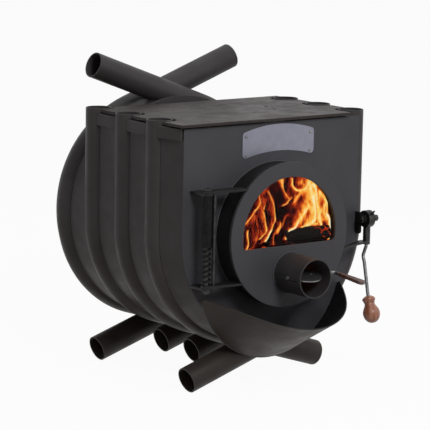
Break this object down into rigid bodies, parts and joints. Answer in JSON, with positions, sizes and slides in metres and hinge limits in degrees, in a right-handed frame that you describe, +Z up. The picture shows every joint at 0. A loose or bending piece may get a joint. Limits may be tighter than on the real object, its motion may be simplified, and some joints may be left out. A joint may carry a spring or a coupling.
{
  "type": "workshop stove",
  "caption": "Wood stove whose firebox walls are bent air tubes, with a round glazed door on a sprung hinge, an air pipe with a butterfly, a hanging latch handle, an ash lip and a cook plate.",
  "frame": {"origin": "on the floor, under the stove's plane of symmetry and the middle of its depth", "axes": "+Z up, -Y out of the door, +X to the right as seen from the front"},
  "size_m": [0.5686, 0.7592, 0.738],
  "materials": {
    "anthracite_paint": "matte heat-proof paint",
    "plate_paint": "matte heat-proof paint, rubbed by pans",
    "bare_steel": "dulled steel",
    "turned_wood": "oiled",
    "seal_rope": "woven glass fibre",
    "stove_glass": "clear ceramic glass",
    "plate_metal": "satin"
  },
  "bodies": {
    "stove": {"ash_lip": "anthracite_paint", "back_plate": "anthracite_paint", "bulkhead": "anthracite_paint", "cook_plate": "plate_paint", "door_collar": "anthracite_paint", "drum_shell_left": "anthracite_paint", "drum_shell_right": "anthracite_paint", "flue_collar": "anthracite_paint", "front_plate": "anthracite_paint", "hinge_bracket_lower": "anthracite_paint", "hinge_bracket_upper": "anthracite_paint", "hinge_nut": "bare_steel", "hinge_pin": "bare_steel", "hinge_sleeve": "anthracite_paint", "hinge_spring": "bare_steel", "latch_bolt": "bare_steel", "latch_bracket": "anthracite_paint", "latch_nut": "bare_steel", "nameplate": "plate_metal", "nameplate_rivets": "bare_steel", "plate_spacers": "anthracite_paint", "side_strip_left_1": "anthracite_paint", "side_strip_left_2": "anthracite_paint", "side_strip_left_front": "anthracite_paint", "side_strip_right_1": "anthracite_paint", "side_strip_right_2": "anthracite_paint", "side_strip_right_3": "anthracite_paint", "top_pan": "anthracite_paint", "tube_left_1": "anthracite_paint", "tube_left_2": "anthracite_paint", "tube_left_3": "anthracite_paint", "tube_left_4": "anthracite_paint", "tube_right_1": "anthracite_paint", "tube_right_2": "anthracite_paint", "tube_right_3": "anthracite_paint", "tube_right_4": "anthracite_paint"},
    "door": {"door_disc": "anthracite_paint", "door_rim": "anthracite_paint", "door_rope": "seal_rope", "glass_seal": "seal_rope", "window_glass": "stove_glass", "glass_frame": "anthracite_paint", "frame_screws": "bare_steel", "air_pipe": "anthracite_paint", "hinge_arm_upper": "anthracite_paint", "hinge_arm_lower": "anthracite_paint", "hinge_rod": "bare_steel", "door_catch": "anthracite_paint"},
    "butterfly": {"butterfly_shaft": "bare_steel", "butterfly_plate": "bare_steel", "butterfly_screws": "bare_steel", "butterfly_lever": "turned_wood"},
    "latch": {"latch_hub": "bare_steel", "latch_barrel": "bare_steel", "latch_pin": "bare_steel", "latch_rod": "bare_steel", "latch_ferrule": "turned_wood", "latch_grip": "turned_wood"},
    "lid": {"cook_lid": "plate_paint"}
  },
  "joints": [
    {"name": "door_hinge", "type": "hinge", "parent": "stove", "child": "door", "pos_m": [-0.216, -0.223, 0.36492], "axis": [0, 0, 1], "range_deg": [-110, 0], "stiffness_Nm_per_rad": 0.8, "springref_deg": 8.59},
    {"name": "butterfly_turn", "type": "hinge", "parent": "door", "child": "butterfly", "pos_m": [0, -0.297, 0.27392], "axis": [1, 0, 0], "range_deg": [-100, 0]},
    {"name": "latch_swing", "type": "hinge", "parent": "stove", "child": "latch", "pos_m": [0.259, -0.206, 0.36692], "axis": [1, 0, 0], "range_deg": [-100, 0]},
    {"name": "lid_lift", "type": "slide", "parent": "stove", "child": "lid", "axis": [0, 0, 1], "range_m": [0, 0.1]}
  ]
}
